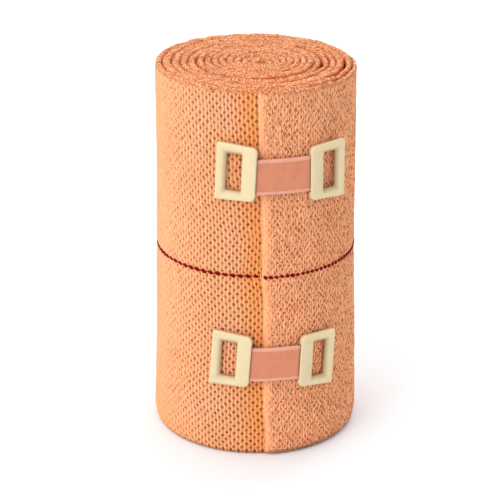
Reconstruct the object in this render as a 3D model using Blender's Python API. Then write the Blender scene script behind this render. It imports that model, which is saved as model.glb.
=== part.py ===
"""A crepe bandage roll that stands on its end, held by two elastic clips.

Metres, +Z up. The origin is the middle of the roll's foot. The loose end of
the bandage faces -Y, and an azimuth is measured from -Y towards +X.
"""

import math

import bmesh
import bpy
from mathutils import Matrix, Vector

MM = 0.001
CLEARANCE = 0.3 * MM
SHARP_ANGLE = math.radians(35.0)
# The middle of the winding, placed so that the origin is the middle of the whole part's foot
AXIS_X = -0.144 * MM
AXIS_Y = 0.722 * MM

# The cloth and its winding
CLOTH_WIDTH = 100.0 * MM
STRIP_TURNS = 13
STEPS_PER_TURN = 40
# Where the outer side of the winding lies at the top of the roll
WINDING = (
    # turns in from the loose end, radius in mm
    (0.0, 26.15),
    (1.0, 25.15),
    (2.0, 23.40),
    (3.0, 20.95),
    (4.0, 19.00),
    (5.0, 17.20),
    (6.0, 15.00),
    (7.0, 13.20),
    (14.0, 0.50),
)
# The cut edge of the loose end leans and wanders as it goes down
LOOSE_END_EDGE = (
    # height in mm, azimuth in degrees
    (0.0, 6.1),
    (8.0, 5.9),
    (20.0, 5.0),
    (39.5, 5.9),
    (52.4, 4.2),
    (60.0, 4.8),
    (71.5, 3.5),
    (88.0, 2.1),
    (100.0, 2.2),
)
# Where neighbouring turns stand apart at the top
GAPS = (
    # turns in at the middle, half length in turns, strength from 0 to 1
    (2.18, 0.11, 1.00),
    (4.28, 0.07, 0.45),
    (5.20, 0.08, 1.00),
    (5.38, 0.18, 0.55),
    (5.72, 0.08, 0.75),
)
# How far each turn's edge lies below the highest one
TELESCOPE = (
    # turns in, drop in mm
    (0.00, 0.30),
    (0.15, 0.80),
    (0.30, 1.00),
    (0.50, 0.30),
    (0.75, 0.00),
    (1.00, 0.15),
    (2.00, 0.00),
    (3.00, 0.45),
    (4.00, 0.20),
    (5.00, 0.55),
    (6.00, 0.05),
    (7.00, 0.30),
    (9.00, 0.10),
    (11.00, 0.45),
    (13.00, 0.90),
    (14.00, 1.30),
)

FOOT_SPREAD = 1.058
BACK_DIP = 0.6 * MM
GROOVE_DEPTH = 1.8 * MM
GAP_EXTRA_DEPTH = 2.4 * MM
CROWN_FROM = 0.28
CROWN_TO = 0.72
GAP_WIDENING = 0.24
RIM_DROP = 1.2 * MM
EYE_DEPTH = 3.0 * MM
EYE_OFFSET = 1.2 * MM
EYE_SQUASH = 0.45
SQUASH_REACH = 8.0 * MM

# The foot: flat inner turns, with the outer ones drawn in and a little up
FOOT_CROWN_FROM = 0.14
FOOT_CROWN_TO = 0.86
FOOT_GROOVE_DEPTH = 1.2 * MM
FOOT_RIM_RISE = 1.2 * MM
FOOT_LIFT = 0.85 * MM
FOOT_FLAT_SHARE = 0.86
FOOT_CURL = 1.0 * MM
FOOT_CURL_HEIGHT = 5.0 * MM
FOOT_CURL_POWER = 8

# The wall between rim and foot
WALL_HEIGHTS = (95.0, 88.0, 80.0, 71.5, 60.0, 52.4, 46.0, 39.5, 30.0, 20.0, 13.0, 8.0, 5.0, 2.8)
WAIST = 0.45 * MM
WALL_WOBBLE = 0.12 * MM
WALL_LOBES = 3

# The clip frames, pressed from sheet metal
FRAME_WIDTH = 10.5 * MM
FRAME_OUTER_HEIGHT = 15.0 * MM
FRAME_STRAP_HEIGHT = 14.2 * MM
FRAME_THICKNESS = 1.5 * MM
FRAME_EDGE_ROUND = 0.45 * MM
OUTER_CORNER_RADIUS = 0.5 * MM
STRAP_CORNER_RADIUS = 1.5 * MM
WINDOW_WIDTH = 4.0 * MM
WINDOW_HEIGHT = 9.7 * MM
WINDOW_CORNER_RADIUS = 0.4 * MM
OUTER_BAR_WIDTH = 2.6 * MM
CORNER_STEPS = 4
FRAMES = (
    # name, side of its strap, azimuth of its middle, azimuth where it touches the cloth,
    # height in mm, turn in its own plane; angles in degrees
    ("upper_left_frame", 1, -9.8, -16.6, 78.7, -2.6),
    ("upper_right_frame", -1, 41.4, 35.6, 77.4, -0.4),
    ("lower_left_frame", 1, -12.7, -14.7, 27.7, -3.9),
    ("lower_right_frame", -1, 34.9, 33.5, 26.4, -3.9),
)

# The elastic straps between the frames
STRAP_WIDTH = 9.4 * MM
STRAP_THICKNESS = 0.9 * MM
STRAP_END_GAP = 0.45 * MM
SELVEDGE_WIDTH = 1.1 * MM
SELVEDGE_DEPTH = 0.15 * MM
STRAP_STEPS = 14
STRAPS = (
    # name, left frame, right frame, height at the left end, height at the right end in mm
    ("upper_strap", "upper_left_frame", "upper_right_frame", 77.8, 77.6),
    ("lower_strap", "lower_left_frame", "lower_right_frame", 26.7, 26.6),
)

# Colours as red, green, blue; then roughness and metallic
CLOTH_FINISH = ((0.88, 0.42, 0.20, 1.0), 0.9, 0.0)
STRAP_FINISH = ((0.72, 0.27, 0.17, 1.0), 0.55, 0.0)
FRAME_FINISH = ((0.90, 0.84, 0.58, 1.0), 0.35, 0.0)


def clear_scene():
    for item in list(bpy.data.objects):
        bpy.data.objects.remove(item, do_unlink=True)


def make_material(name, finish):
    colour, roughness, metallic = finish
    material = bpy.data.materials.new(name)
    material.use_nodes = True
    shader = material.node_tree.nodes["Principled BSDF"]
    shader.inputs["Base Color"].default_value = colour
    shader.inputs["Roughness"].default_value = roughness
    shader.inputs["Metallic"].default_value = metallic
    return material


def read_table(rows, place):
    """The value at a place in a table of (place, value) rows, by straight lines."""
    if place <= rows[0][0]:
        before, after = rows[0], rows[1]
    elif place >= rows[-1][0]:
        before, after = rows[-2], rows[-1]
    else:
        index = next(i for i, row in enumerate(rows) if row[0] > place)
        before, after = rows[index - 1], rows[index]
    share = (place - before[0]) / (after[0] - before[0])
    return before[1] + share * (after[1] - before[1])


def outward(azimuth):
    """The level unit vector that points away from the axis at an azimuth in radians."""
    return Vector((math.sin(azimuth), -math.cos(azimuth), 0.0))


# Radii and heights of the winding


def winding_radius(turns):
    return read_table(WINDING, turns) * MM


def edge_azimuth(height):
    return math.radians(read_table(LOOSE_END_EDGE, height / MM))


def spread(height):
    """The roll is a little wider at its foot than at its top, and drawn in half way up."""
    share = height / CLOTH_WIDTH
    waist = 4.0 * share * (1.0 - share) * WAIST / winding_radius(0.0)
    return FOOT_SPREAD + (1.0 - FOOT_SPREAD) * share - waist


def foot_curl(height, radius):
    """How far the outer turns are drawn in close to the foot."""
    if height >= FOOT_CURL_HEIGHT:
        return 0.0
    nearness = (1.0 - height / FOOT_CURL_HEIGHT) ** 2
    return FOOT_CURL * nearness * (radius / winding_radius(0.0)) ** FOOT_CURL_POWER


def wall_wobble(azimuth, height):
    """The soft cloth is never quite round: shallow lobes that drift with the height."""
    phase = height / CLOTH_WIDTH * math.tau
    return WALL_WOBBLE * math.sin(WALL_LOBES * azimuth + phase) * math.cos(phase)


def gap_strength(turns):
    """How far the turns on both sides of the groove line stand apart, from 0 to 1."""
    strength = 0.0
    for middle, half_length, size in GAPS:
        distance = abs(turns - middle) / half_length
        if distance < 1.0:
            strength = max(strength, size * math.cos(distance * math.pi / 2.0) ** 2)
    return strength


def place_on_winding(turns, height, radius):
    """A point of the roll, with the inner turns shifted and flattened round the eye."""
    azimuth = edge_azimuth(height) + turns * math.tau
    wide_radius = radius * spread(height) - foot_curl(height, radius)
    point = outward(azimuth) * wide_radius
    if radius < SQUASH_REACH:
        point.y *= 1.0 - EYE_SQUASH * (1.0 - radius / SQUASH_REACH) ** 2
    point.x += EYE_OFFSET * max(0.0, 1.0 - radius / winding_radius(1.0))
    point.z = height
    return point


def top_height(turns, radius):
    """The height of a turn's edge, which dips towards the back of the roll."""
    azimuth = edge_azimuth(CLOTH_WIDTH) + turns * math.tau
    towards_back = (1.0 - math.cos(azimuth)) / 2.0
    dip = BACK_DIP * towards_back * (radius / winding_radius(0.0)) ** 2
    return CLOTH_WIDTH - read_table(TELESCOPE, turns) * MM - dip


def foot_height(radius):
    """The height of a turn's lower edge: level inside, and raised at the outer turns."""
    flat_radius = FOOT_FLAT_SHARE * winding_radius(0.0)
    share = (radius - flat_radius) / (winding_radius(0.0) - flat_radius)
    return FOOT_LIFT * max(0.0, share) ** 2


def crown_radius(turns, share):
    """A radius within one thickness of cloth, from its outer side at 0 to its inner at 1."""
    outer = winding_radius(turns)
    inner = winding_radius(turns + 1.0)
    return outer + share * (inner - outer)


# The roll as one closed body


def end_lines(mesh, at_top):
    """The groove line and the two crown lines of one end of the roll.

    The groove line goes one turn further in than the crown lines, because
    neighbouring turns share it.
    """
    grooves = []
    for index in range((STRIP_TURNS + 1) * STEPS_PER_TURN + 1):
        turns = index / STEPS_PER_TURN
        radius = winding_radius(turns)
        on_rim = turns <= 1.0
        if at_top:
            depth = RIM_DROP if on_rim else GROOVE_DEPTH + GAP_EXTRA_DEPTH * gap_strength(turns)
            height = top_height(turns, radius) - depth
        else:
            depth = FOOT_RIM_RISE if on_rim else FOOT_GROOVE_DEPTH
            height = foot_height(radius) + depth
        grooves.append(mesh.verts.new(place_on_winding(turns, height, radius)))

    outer_crowns = []
    inner_crowns = []
    for index in range(STRIP_TURNS * STEPS_PER_TURN + 1):
        turns = index / STEPS_PER_TURN
        if at_top:
            start = CROWN_FROM + GAP_WIDENING * gap_strength(turns)
            stop = CROWN_TO - GAP_WIDENING * gap_strength(turns + 1.0)
        else:
            start, stop = FOOT_CROWN_FROM, FOOT_CROWN_TO
        for share, line in ((start, outer_crowns), (stop, inner_crowns)):
            radius = crown_radius(turns, share)
            height = top_height(turns, radius) if at_top else foot_height(radius)
            line.append(mesh.verts.new(place_on_winding(turns, height, radius)))
    return grooves, outer_crowns, inner_crowns


def fill_end(mesh, lines, eye_height):
    """Close one end: three faces across each step of the winding, then the eye."""
    grooves, outer_crowns, inner_crowns = lines
    steps = STRIP_TURNS * STEPS_PER_TURN
    for i in range(steps):
        inward = i + STEPS_PER_TURN
        mesh.faces.new((grooves[i], grooves[i + 1], outer_crowns[i + 1], outer_crowns[i]))
        mesh.faces.new((outer_crowns[i], outer_crowns[i + 1], inner_crowns[i + 1], inner_crowns[i]))
        mesh.faces.new((inner_crowns[i], inner_crowns[i + 1], grooves[inward + 1], grooves[inward]))
    mesh.faces.new((grooves[0], outer_crowns[0], inner_crowns[0], grooves[STEPS_PER_TURN]))

    eye_rim = grooves[steps:] + [inner_crowns[steps], outer_crowns[steps]]
    eye = mesh.verts.new((EYE_OFFSET, 0.0, eye_height))
    for here, after in zip(eye_rim, eye_rim[1:] + eye_rim[:1]):
        mesh.faces.new((here, after, eye))


def wall_columns(mesh, top_line, foot_line):
    """The outer side of the first turn, one column of points for each step."""
    columns = []
    for i in range(STEPS_PER_TURN + 1):
        turns = i / STEPS_PER_TURN
        radius = winding_radius(turns)
        column = [top_line[i]]
        for height_mm in WALL_HEIGHTS:
            height = height_mm * MM
            azimuth = edge_azimuth(height) + turns * math.tau
            uneven = radius + wall_wobble(azimuth, height)
            column.append(mesh.verts.new(place_on_winding(turns, height, uneven)))
        column.append(foot_line[i])
        columns.append(column)
    return columns


def fill_wall(mesh, columns):
    """Join the columns, and join the last to the first by the loose end's cut edge."""
    for here, after in zip(columns, columns[1:] + columns[:1]):
        for row in range(len(here) - 1):
            mesh.faces.new((here[row], here[row + 1], after[row + 1], after[row]))


def finish_object(name, mesh, material):
    """Make a named object that stands on the winding's axis."""
    bmesh.ops.recalc_face_normals(mesh, faces=mesh.faces)
    data = bpy.data.meshes.new(name)
    mesh.to_mesh(data)
    mesh.free()
    data.materials.append(material)
    data.shade_smooth()
    data.set_sharp_from_angle(angle=SHARP_ANGLE)
    item = bpy.data.objects.new(name, data)
    item.parent = bpy.data.objects["winding_axis"]
    bpy.context.scene.collection.objects.link(item)
    return item


def make_axis():
    axis = bpy.data.objects.new("winding_axis", None)
    axis.location = (AXIS_X, AXIS_Y, 0.0)
    bpy.context.scene.collection.objects.link(axis)


def make_roll(material):
    mesh = bmesh.new()
    top = end_lines(mesh, at_top=True)
    foot = end_lines(mesh, at_top=False)
    fill_end(mesh, top, CLOTH_WIDTH - EYE_DEPTH)
    fill_end(mesh, foot, EYE_DEPTH)
    fill_wall(mesh, wall_columns(mesh, top[0], foot[0]))
    return finish_object("bandage_roll", mesh, material)


# The clip frames


def frame_outline(left, right, left_half_height, right_half_height, left_radius, right_radius):
    """A four-sided outline with round corners, anticlockwise from the upper right."""
    corners = (
        # centre of the round, its radius
        (right - right_radius, right_half_height - right_radius, right_radius),
        (left + left_radius, left_half_height - left_radius, left_radius),
        (left + left_radius, left_radius - left_half_height, left_radius),
        (right - right_radius, right_radius - right_half_height, right_radius),
    )
    points = []
    for quarter, (x, z, radius) in enumerate(corners):
        for step in range(CORNER_STEPS):
            angle = math.pi / 2.0 * (quarter + step / (CORNER_STEPS - 1))
            points.append((x + radius * math.cos(angle), z + radius * math.sin(angle)))
    return points


def join_loops(mesh, loop, following):
    """A band of faces between two closed loops of equal length."""
    count = len(loop)
    for i in range(count):
        after = (i + 1) % count
        mesh.faces.new((loop[i], loop[after], following[after], following[i]))


def frame_loops(strap_side):
    """The frame's loops: up its outer side, over the front, and back through the window.

    Across is X, and the front faces -Y. strap_side is 1 where the strap comes in from +X.
    """
    half_width = FRAME_WIDTH / 2.0
    outer_half = FRAME_OUTER_HEIGHT / 2.0
    strap_half = FRAME_STRAP_HEIGHT / 2.0
    window_start = -half_width + OUTER_BAR_WIDTH
    window_half = WINDOW_HEIGHT / 2.0

    def outer(inset, depth):
        return depth, frame_outline(
            -half_width + inset,
            half_width - inset,
            outer_half - inset,
            strap_half - inset,
            OUTER_CORNER_RADIUS,
            STRAP_CORNER_RADIUS - inset,
        )

    def window(growth, depth):
        return depth, frame_outline(
            window_start - growth,
            window_start + WINDOW_WIDTH + growth,
            window_half + growth,
            window_half + growth,
            WINDOW_CORNER_RADIUS,
            WINDOW_CORNER_RADIUS,
        )

    shoulder = FRAME_THICKNESS - FRAME_EDGE_ROUND
    loops = (
        outer(0.0, 0.0),
        outer(0.0, shoulder),
        outer(FRAME_EDGE_ROUND, FRAME_THICKNESS),
        window(FRAME_EDGE_ROUND, FRAME_THICKNESS),
        window(0.0, shoulder),
        window(0.0, 0.0),
    )
    return [[Vector((strap_side * x, -depth, z)) for x, z in points] for depth, points in loops]


def wall_radius(turns, height):
    """The radius of the roll's wall where it stands out most."""
    return winding_radius(turns) * spread(height) + WALL_WOBBLE


def turns_at(azimuth, height):
    """Turns in from the loose end's cut edge, less than 0 on the other side of the edge."""
    return (azimuth - edge_azimuth(height)) / math.tau


def wall_lean():
    """The angle by which the wall leans in towards the top."""
    return math.atan((FOOT_SPREAD - 1.0) * winding_radius(0.5) / CLOTH_WIDTH)


def place_frame(item, middle, touch, height, turn):
    """Set a frame flat against the wall at one azimuth, with its middle at another."""
    middle_azimuth = math.radians(middle)
    touch_azimuth = math.radians(touch)
    normal = outward(touch_azimuth)
    along = Vector((math.cos(touch_azimuth), math.sin(touch_azimuth), 0.0))
    distance = wall_radius(turns_at(touch_azimuth, height) % 1.0, height) + CLEARANCE
    shift = distance * math.tan(middle_azimuth - touch_azimuth)
    item.location = normal * distance + along * shift + Vector((0.0, 0.0, height))
    item.rotation_mode = "YXZ"
    item.rotation_euler = (-wall_lean(), -math.radians(turn), touch_azimuth)


def make_frames(material):
    frames = {}
    for name, strap_side, middle, touch, height_mm, turn in FRAMES:
        mesh = bmesh.new()
        loops = [[mesh.verts.new(point) for point in loop] for loop in frame_loops(strap_side)]
        for loop, following in zip(loops, loops[1:] + loops[:1]):
            join_loops(mesh, loop, following)
        item = finish_object(name, mesh, material)
        place_frame(item, middle, touch, height_mm * MM, turn)
        frames[name] = (item, strap_side)
    return frames


# The elastic straps


def frame_side_azimuth(frame, height):
    """The azimuth of a frame's strap side at a height, half way through its thickness."""
    item, strap_side = frame
    placed = Matrix.Translation(item.location) @ item.rotation_euler.to_matrix().to_4x4()
    half_height = FRAME_STRAP_HEIGHT / 2.0
    ends = []
    for z in (-half_height, half_height):
        point = placed @ Vector((strap_side * FRAME_WIDTH / 2.0, -FRAME_THICKNESS / 2.0, z))
        ends.append((point.z, math.atan2(point.x, -point.y)))
    return read_table(ends, height)


def strap_section():
    """The strap's outline across its width: a distance from the middle and a thickness there."""
    half = STRAP_WIDTH / 2.0
    inner = half - SELVEDGE_WIDTH
    slope = SELVEDGE_DEPTH
    thin = STRAP_THICKNESS - SELVEDGE_DEPTH
    return (
        (-half, 0.0),
        (half, 0.0),
        (half, STRAP_THICKNESS),
        (inner + slope, STRAP_THICKNESS),
        (inner, thin),
        (-inner, thin),
        (-inner - slope, STRAP_THICKNESS),
        (-half, STRAP_THICKNESS),
    )


def make_strap(name, left_frame, right_frame, left_height, right_height, material):
    """A strap that lies on the loose end's turn and runs on smoothly past its cut edge."""
    mesh = bmesh.new()
    rings = []
    for step in range(STRAP_STEPS + 1):
        share = step / STRAP_STEPS
        middle_height = left_height + share * (right_height - left_height)
        ring = []
        for across, thickness in strap_section():
            height = middle_height + across
            end_gap = STRAP_END_GAP / winding_radius(0.0)
            start = frame_side_azimuth(left_frame, height) + end_gap
            stop = frame_side_azimuth(right_frame, height) - end_gap
            azimuth = start + share * (stop - start)
            radius = wall_radius(turns_at(azimuth, height), height) + CLEARANCE + thickness
            point = outward(azimuth) * radius
            point.z = height
            ring.append(mesh.verts.new(point))
        rings.append(ring)
    for here, after in zip(rings, rings[1:]):
        join_loops(mesh, here, after)
    mesh.faces.new(rings[0])
    mesh.faces.new(rings[-1])
    return finish_object(name, mesh, material)


def main():
    clear_scene()
    make_axis()
    cloth = make_material("crepe_cloth", CLOTH_FINISH)
    elastic = make_material("strap_elastic", STRAP_FINISH)
    painted = make_material("frame_paint", FRAME_FINISH)
    make_roll(cloth)
    frames = make_frames(painted)
    for name, left, right, left_height, right_height in STRAPS:
        make_strap(name, frames[left], frames[right], left_height * MM, right_height * MM, elastic)


main()
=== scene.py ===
import math

import bpy
import numpy as np
from mathutils import Matrix, Vector, noise


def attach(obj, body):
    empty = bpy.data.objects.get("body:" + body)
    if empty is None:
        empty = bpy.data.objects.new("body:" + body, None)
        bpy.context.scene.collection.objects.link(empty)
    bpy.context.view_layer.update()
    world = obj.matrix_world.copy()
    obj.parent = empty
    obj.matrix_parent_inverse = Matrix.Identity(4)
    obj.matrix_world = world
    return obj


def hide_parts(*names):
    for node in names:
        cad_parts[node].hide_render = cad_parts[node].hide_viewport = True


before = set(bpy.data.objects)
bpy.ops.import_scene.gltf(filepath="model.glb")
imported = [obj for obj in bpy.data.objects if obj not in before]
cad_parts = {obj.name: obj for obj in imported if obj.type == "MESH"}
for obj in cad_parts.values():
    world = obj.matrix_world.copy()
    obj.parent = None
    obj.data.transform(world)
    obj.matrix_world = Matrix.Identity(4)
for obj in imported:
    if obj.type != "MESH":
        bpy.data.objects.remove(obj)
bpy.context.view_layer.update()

MM = 0.001

# The winding, in the same frame as the solids; azimuths run from -Y towards +X
AXIS_X = -0.144 * MM
AXIS_Y = 0.722 * MM
CLOTH_WIDTH = 100.0 * MM
CLOTH_TURNS = 13.0
WINDING = (
    # turns in from the loose end, radius of the outer side in mm
    (0.0, 26.15),
    (1.0, 25.15),
    (2.0, 23.40),
    (3.0, 20.95),
    (4.0, 19.00),
    (5.0, 17.20),
    (6.0, 15.00),
    (7.0, 13.20),
    (14.0, 0.50),
)
LOOSE_END_EDGE = (
    # height in mm, azimuth in degrees
    (0.0, 6.1),
    (8.0, 5.9),
    (20.0, 5.0),
    (39.5, 5.9),
    (52.4, 4.2),
    (60.0, 4.8),
    (71.5, 3.5),
    (88.0, 2.1),
    (100.0, 2.2),
)
GAPS = (
    # turns in at the middle, half length in turns, strength from 0 to 1
    (2.18, 0.11, 1.00),
    (4.28, 0.07, 0.45),
    (5.20, 0.08, 1.00),
    (5.38, 0.18, 0.55),
    (5.72, 0.08, 0.40),
)
TELESCOPE = (
    # turns in, drop of the turn's edge in mm
    (0.00, 0.30),
    (0.15, 0.80),
    (0.30, 1.00),
    (0.50, 0.30),
    (0.75, 0.00),
    (1.00, 0.15),
    (2.00, 0.00),
    (3.00, 0.45),
    (4.00, 0.20),
    (5.00, 0.55),
    (6.00, 0.05),
    (7.00, 0.30),
    (9.00, 0.10),
    (11.00, 0.45),
    (13.00, 0.90),
    (14.00, 1.30),
)
FOOT_SPREAD = 1.058
WAIST = 0.45 * MM
BACK_DIP = 0.6 * MM
EYE_OFFSET = 1.2 * MM
EYE_SQUASH = 0.45
SQUASH_REACH = 8.0 * MM
FOOT_LIFT = 0.85 * MM
FOOT_FLAT_SHARE = 0.86
FOOT_CURL = 1.0 * MM
FOOT_CURL_HEIGHT = 5.0 * MM
FOOT_CURL_POWER = 8
WALL_WOBBLE = 0.12 * MM
WALL_LOBES = 3

# The crepe: columns and rows of small holes, one set half a repeat off the other
ROW_REPEAT = 2.0 * MM
COLUMN_REPEAT = (
    # turns in, width of a repeat in mm
    (0.0, 1.43),
    (0.25, 1.45),
    (0.55, 1.70),
    (0.85, 2.00),
    (14.0, 2.00),
)
OPENNESS = (
    # turns in, how open the holes are from 0 to 1
    (0.00, 0.30),
    (0.02, 0.62),
    (0.20, 0.62),
    (0.30, 0.50),
    (0.60, 0.38),
    (0.78, 0.40),
    (0.85, 0.68),
    (0.90, 0.76),
    (0.94, 0.86),
    (1.00, 1.00),
    (1.10, 0.70),
    (13.0, 0.55),
)
PUCKERS = (
    # turns in, height of the crepe's puckers in mm
    (0.00, 0.08),
    (0.03, 0.22),
    (0.20, 0.24),
    (0.30, 0.18),
    (0.45, 0.16),
    (0.80, 0.14),
    (0.92, 0.13),
    (13.0, 0.13),
)
TEXTURE = (
    # turns in, how strongly the crepe shows from 0 to 1
    (0.000, 0.30),
    (0.004, 0.45),
    (0.013, 1.00),
    (0.200, 1.00),
    (0.270, 0.65),
    (0.800, 0.42),
    (0.880, 0.80),
    (0.920, 1.00),
    (13.000, 1.00),
)
POINTS_PER_REPEAT = 4
LATTICE_SAMPLES = 40001
HOLE_DEPTH = 0.40 * MM
KNOT_HEIGHT = 0.05 * MM
THREAD_RISE = 0.18 * MM
THREAD_SWING = 0.15 * MM
COLUMN_DRIFT = 0.50 * MM
PLAIN_RELIEF = 0.2

# The gaps between turns, and the round and uneven edges of the cloth; waves are in repeats
TURN_GAP = 0.22 * MM
TURN_GAP_UNEVEN = 0.50 * MM
SMALLEST_GAP = 0.1 * MM
GAP_WAVE = 0.8
WIDE_GAP = 1.15 * MM
WIDE_GAP_REACH = 9.0 * MM
CROWN_RISE = 0.8 * MM
CROWN_STEPS = 8
FOOT_CROWN_STEPS = 6
EDGE_UNEVEN = 0.30 * MM
EDGE_WAVE = 2.6
SHORT_EDGE_WAVE = 0.75
SHORT_EDGE_SHARE = 0.6
RAGGED_EDGE = 0.25 * MM
RAGGED_WAVE = 0.9
WOBBLE_STOP = 2.0 * MM

# Depths below the top edge: where the edge's cords fade out, where a gap's painted shade sets in
CORD_FADE = (1.3 * MM, 0.4 * MM)
GAP_FADE = (0.15 * MM, 0.80 * MM)

# The last turn and its cut end; these stretches start and stop at a count of turns in
LAST_TURN_STOP = 1.02
GOES_UNDER = (0.93, 0.99)
IS_HIDDEN = (0.996, 1.012)
ON_WALL = (1.02, 0.98)
# Where the turn beneath is painted deeper orange as painted shade, next to the loose end's edge
EDGE_SHADE_START = (0.945, 0.993)
EDGE_SHADE_STOP = (1.012, 1.0)
END_PRESS_STRETCH = (0.02, 0.0)
GROOVE_STRETCH = (0.0, 0.012)
END_PRESS = 0.35 * MM
END_ROUNDING = 2.2 * MM
END_ROUNDING_SHARE = 0.85
OUTER_ROWS = 196
INNER_SIDE_ROWS = (1.0, 0.985, 0.96, 0.9, 0.5, 0.1, 0.0)
BURIED_SIDE_ROWS = (0.0, 0.04, 0.1, 0.5, 0.9, 0.95, 0.975, 0.99, 1.0)

# Loops of thread that turn over the top edge of the cloth, spaced in repeats of the crepe
LOOP_SPACING = 0.50
LOOP_SHAKE = 0.3
LOOP_THICKNESS = 0.46 * MM
LOOP_FLATNESS = 0.6
LOOP_TAPER = 0.55
LOOP_ARC = (0.10, 0.84)
LOOP_STEPS = 6
LOOP_SIDES = 5
LOOP_LEAN = 0.55 * MM
LOOP_RISE = 0.14 * MM

# The red marker thread, which lies in a shallow groove that it pulls into the cloth
THREAD_HEIGHT = 50.4 * MM
GROOVE_DEPTH = 0.30 * MM
GROOVE_REACH = 0.80 * MM
STITCH_LENGTH_SHARE = 0.72
STITCH_THICKNESS = 1.12 * MM
STITCH_LIFT = -0.09 * MM
STITCH_FLATNESS = 0.42
CORE_THICKNESS = 0.38 * MM
STITCH_WANDER = 0.22 * MM
STITCH_SLANT = 0.12 * MM
CORE_LIFT = -0.18 * MM
CORE_WANDER = 0.15 * MM
CORE_FLATNESS = 0.9
THREAD_STOP = 0.997
THREAD_SIDES = 8
STITCH_RINGS = 7

# The clip frames
FRAME_WIDTH = 10.5 * MM
FRAME_OUTER_HEIGHT = 15.0 * MM
FRAME_STRAP_HEIGHT = 14.2 * MM
FRAME_THICKNESS = 1.5 * MM
CLEARANCE = 0.3 * MM
OUTER_CORNER_RADIUS = 0.5 * MM
STRAP_CORNER_RADIUS = 1.5 * MM
WINDOW_WIDTH = 4.0 * MM
WINDOW_HEIGHT = 9.7 * MM
WINDOW_CORNER_RADIUS = 0.5 * MM
OUTER_BAR_WIDTH = 2.6 * MM
CORNER_STEPS = 9
OUTER_SLOPE = 0.75 * MM
OUTER_DROP = 0.42 * MM
STRAP_SLOPE_SHARE = 0.4
CHAMFER_WIDTH = 0.90 * MM
CHAMFER_STRAP_SIDE = 0.3 * MM
SLOT_DEPTH = 0.7 * MM
SLOT_LOW = 0.42 * MM
SLOT_HIGH = 1.02 * MM
SLOT_EDGE = 0.06 * MM
SLOT_HALF_HEIGHT = 4.85 * MM
STRAP_IN_SLOT_SHARE = 0.55
BACK_INSET = 0.12 * MM
ROUND_STEPS = 4
WINDOW_RIMS = (
    # share of the chamfer's width, depth below the front in mm, from the front to the back
    (1.25, 0.02),
    (1.00, 0.08),
    (0.50, 0.35),
    (0.12, 0.57),
    (0.00, 0.70),
    (0.00, 1.40),
    (0.10, 1.50),
)
FRAME_SHARP_ANGLE = 50.0
FRAMES = (
    # name, side of its strap, azimuth of its middle, azimuth where it touches the cloth,
    # height in mm, turn in its own plane; angles in degrees
    ("upper_left_frame", 1, -9.8, -16.6, 78.7, -2.6),
    ("upper_right_frame", -1, 41.4, 35.6, 77.4, -0.4),
    ("lower_left_frame", 1, -12.7, -14.7, 27.7, -3.9),
    ("lower_right_frame", -1, 34.9, 33.5, 26.4, -3.9),
)

# The straps
STRAP_WIDTH = 9.4 * MM
STRAP_THICKNESS = 0.9 * MM
STRAP_STEPS = 90
STRAP_SECTION_STEPS = 40
STRAP_BACK_STEP = 4
STRAP_LIFT_REACH = 6.0 * MM
STRAP_SHARP_ANGLE = 60.0
WEB_SHARE = 0.34
SELVEDGE_WIDTH = 1.0 * MM
SELVEDGE_GROOVE_SHARE = 0.10
SELVEDGE_GROOVE_REACH = 0.22 * MM
WELT_SHARE = 0.16
WELT_PLACE = 0.55 * MM
WELT_REACH = 0.42 * MM
SIDE_ROUNDING = 0.35 * MM
END_PINCH = 0.28
END_PINCH_REACH = 1.2 * MM
STRAPS = (
    # name, left frame, right frame, height at the left end, height at the right end in mm
    ("upper_strap", "upper_left_frame", "upper_right_frame", 77.8, 77.6),
    ("lower_strap", "lower_left_frame", "lower_right_frame", 26.7, 26.6),
)

# The camera
CAMERA_PLACE = Vector((AXIS_X, AXIS_Y - 500.0 * MM, 255.09 * MM))
CAMERA_PITCH = 22.587
CAMERA_YAW = 0.138
CAMERA_ROLL = 0.108
CAMERA_LENS = 147.1
CAMERA_SENSOR = 36.0
CAMERA_CLIP_START = 0.01

# The surroundings
FLOOR_HALF_WIDTH = 3.0
SKY_COLOUR = (1.0, 1.0, 1.0, 1.0)
SKY_SHADE = (
    # direction from which the sky is dimmer or brighter, strength at its middle
    ((1.0, -0.12, -0.10), -0.68),
    ((0.0, 0.0, 1.0), 0.43),
)
LIGHT_DISTANCE = 0.9
LIGHTS = (
    # name, azimuth and elevation in degrees, size in metres, power in watts
    ("key", -42.0, 40.0, 0.50, 1.75),
    ("glint", -33.0, 40.0, 0.09, 0.32),
    ("back", 152.0, 50.0, 0.35, 1.15),
)


def table(rows, places):
    """Values at places in a table of (place, value) rows, by straight lines."""
    return np.interp(places, [row[0] for row in rows], [row[1] for row in rows])


def smooth_step(low, high, value):
    share = np.clip((value - low) / (high - low), 0.0, 1.0)
    return share * share * (3.0 - 2.0 * share)


def bell(distance, reach):
    return np.exp(-((distance / reach) ** 2))


def winding_radius(turns):
    """The outer side's radius, carried on past the table's end."""
    last_slope = (WINDING[-1][1] - WINDING[-2][1]) / (WINDING[-1][0] - WINDING[-2][0])
    past = np.maximum(np.asarray(turns) - WINDING[-1][0], 0.0)
    return (table(WINDING, turns) + past * last_slope) * MM


def edge_azimuth(height):
    """Where the loose end's cut edge lies."""
    return np.radians(table(LOOSE_END_EDGE, np.asarray(height) / MM))


def spread(height):
    """How much wider the roll is at a height than at its top."""
    share = np.asarray(height) / CLOTH_WIDTH
    waist = 4.0 * share * (1.0 - share) * WAIST / winding_radius(0.0)
    return FOOT_SPREAD + (1.0 - FOOT_SPREAD) * share - waist


def foot_curl(height, radius):
    """How far the outer turns are drawn in close to the foot."""
    nearness = np.clip(1.0 - height / FOOT_CURL_HEIGHT, 0.0, 1.0) ** 2
    return FOOT_CURL * nearness * (radius / winding_radius(0.0)) ** FOOT_CURL_POWER


def wall_wobble(azimuth, height):
    phase = height / CLOTH_WIDTH * math.tau
    return WALL_WOBBLE * np.sin(WALL_LOBES * azimuth + phase) * np.cos(phase)


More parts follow.
